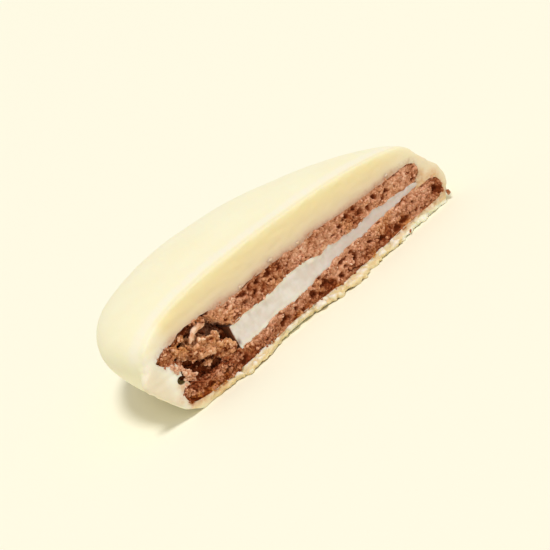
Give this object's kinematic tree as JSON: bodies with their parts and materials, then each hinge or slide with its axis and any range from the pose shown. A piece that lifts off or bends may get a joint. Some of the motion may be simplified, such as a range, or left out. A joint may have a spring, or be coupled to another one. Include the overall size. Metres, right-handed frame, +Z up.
{
  "type": "half of a white-chocolate-coated sandwich cookie",
  "caption": "Half of a round sandwich cookie in a thick white chocolate coat, cut to show cocoa biscuits and cream; lies flat on its base.",
  "frame": {"origin": "under the middle of the piece, on the surface that its flat base lies on", "axes": "+Z up through the dome, X along the cut face from the thick end at -X to the thin end at +X, -Y out of the cut face"},
  "size_m": [0.0512, 0.0282, 0.0133],
  "materials": {
    "white_chocolate": "smooth satin set white chocolate, pale ivory yellow",
    "cocoa_biscuit": "dry porous crumb, reddish cocoa brown",
    "cream": "smooth matte set sugar cream, off-white"
  },
  "bodies": {
    "root": {"coating": "white_chocolate", "top_biscuit": "cocoa_biscuit", "cream": "cream", "bottom_biscuit": "cocoa_biscuit", "broken_lump": "cocoa_biscuit", "broken_shard": "cocoa_biscuit", "broken_flake": "cocoa_biscuit"}
  },
  "joints": []
}
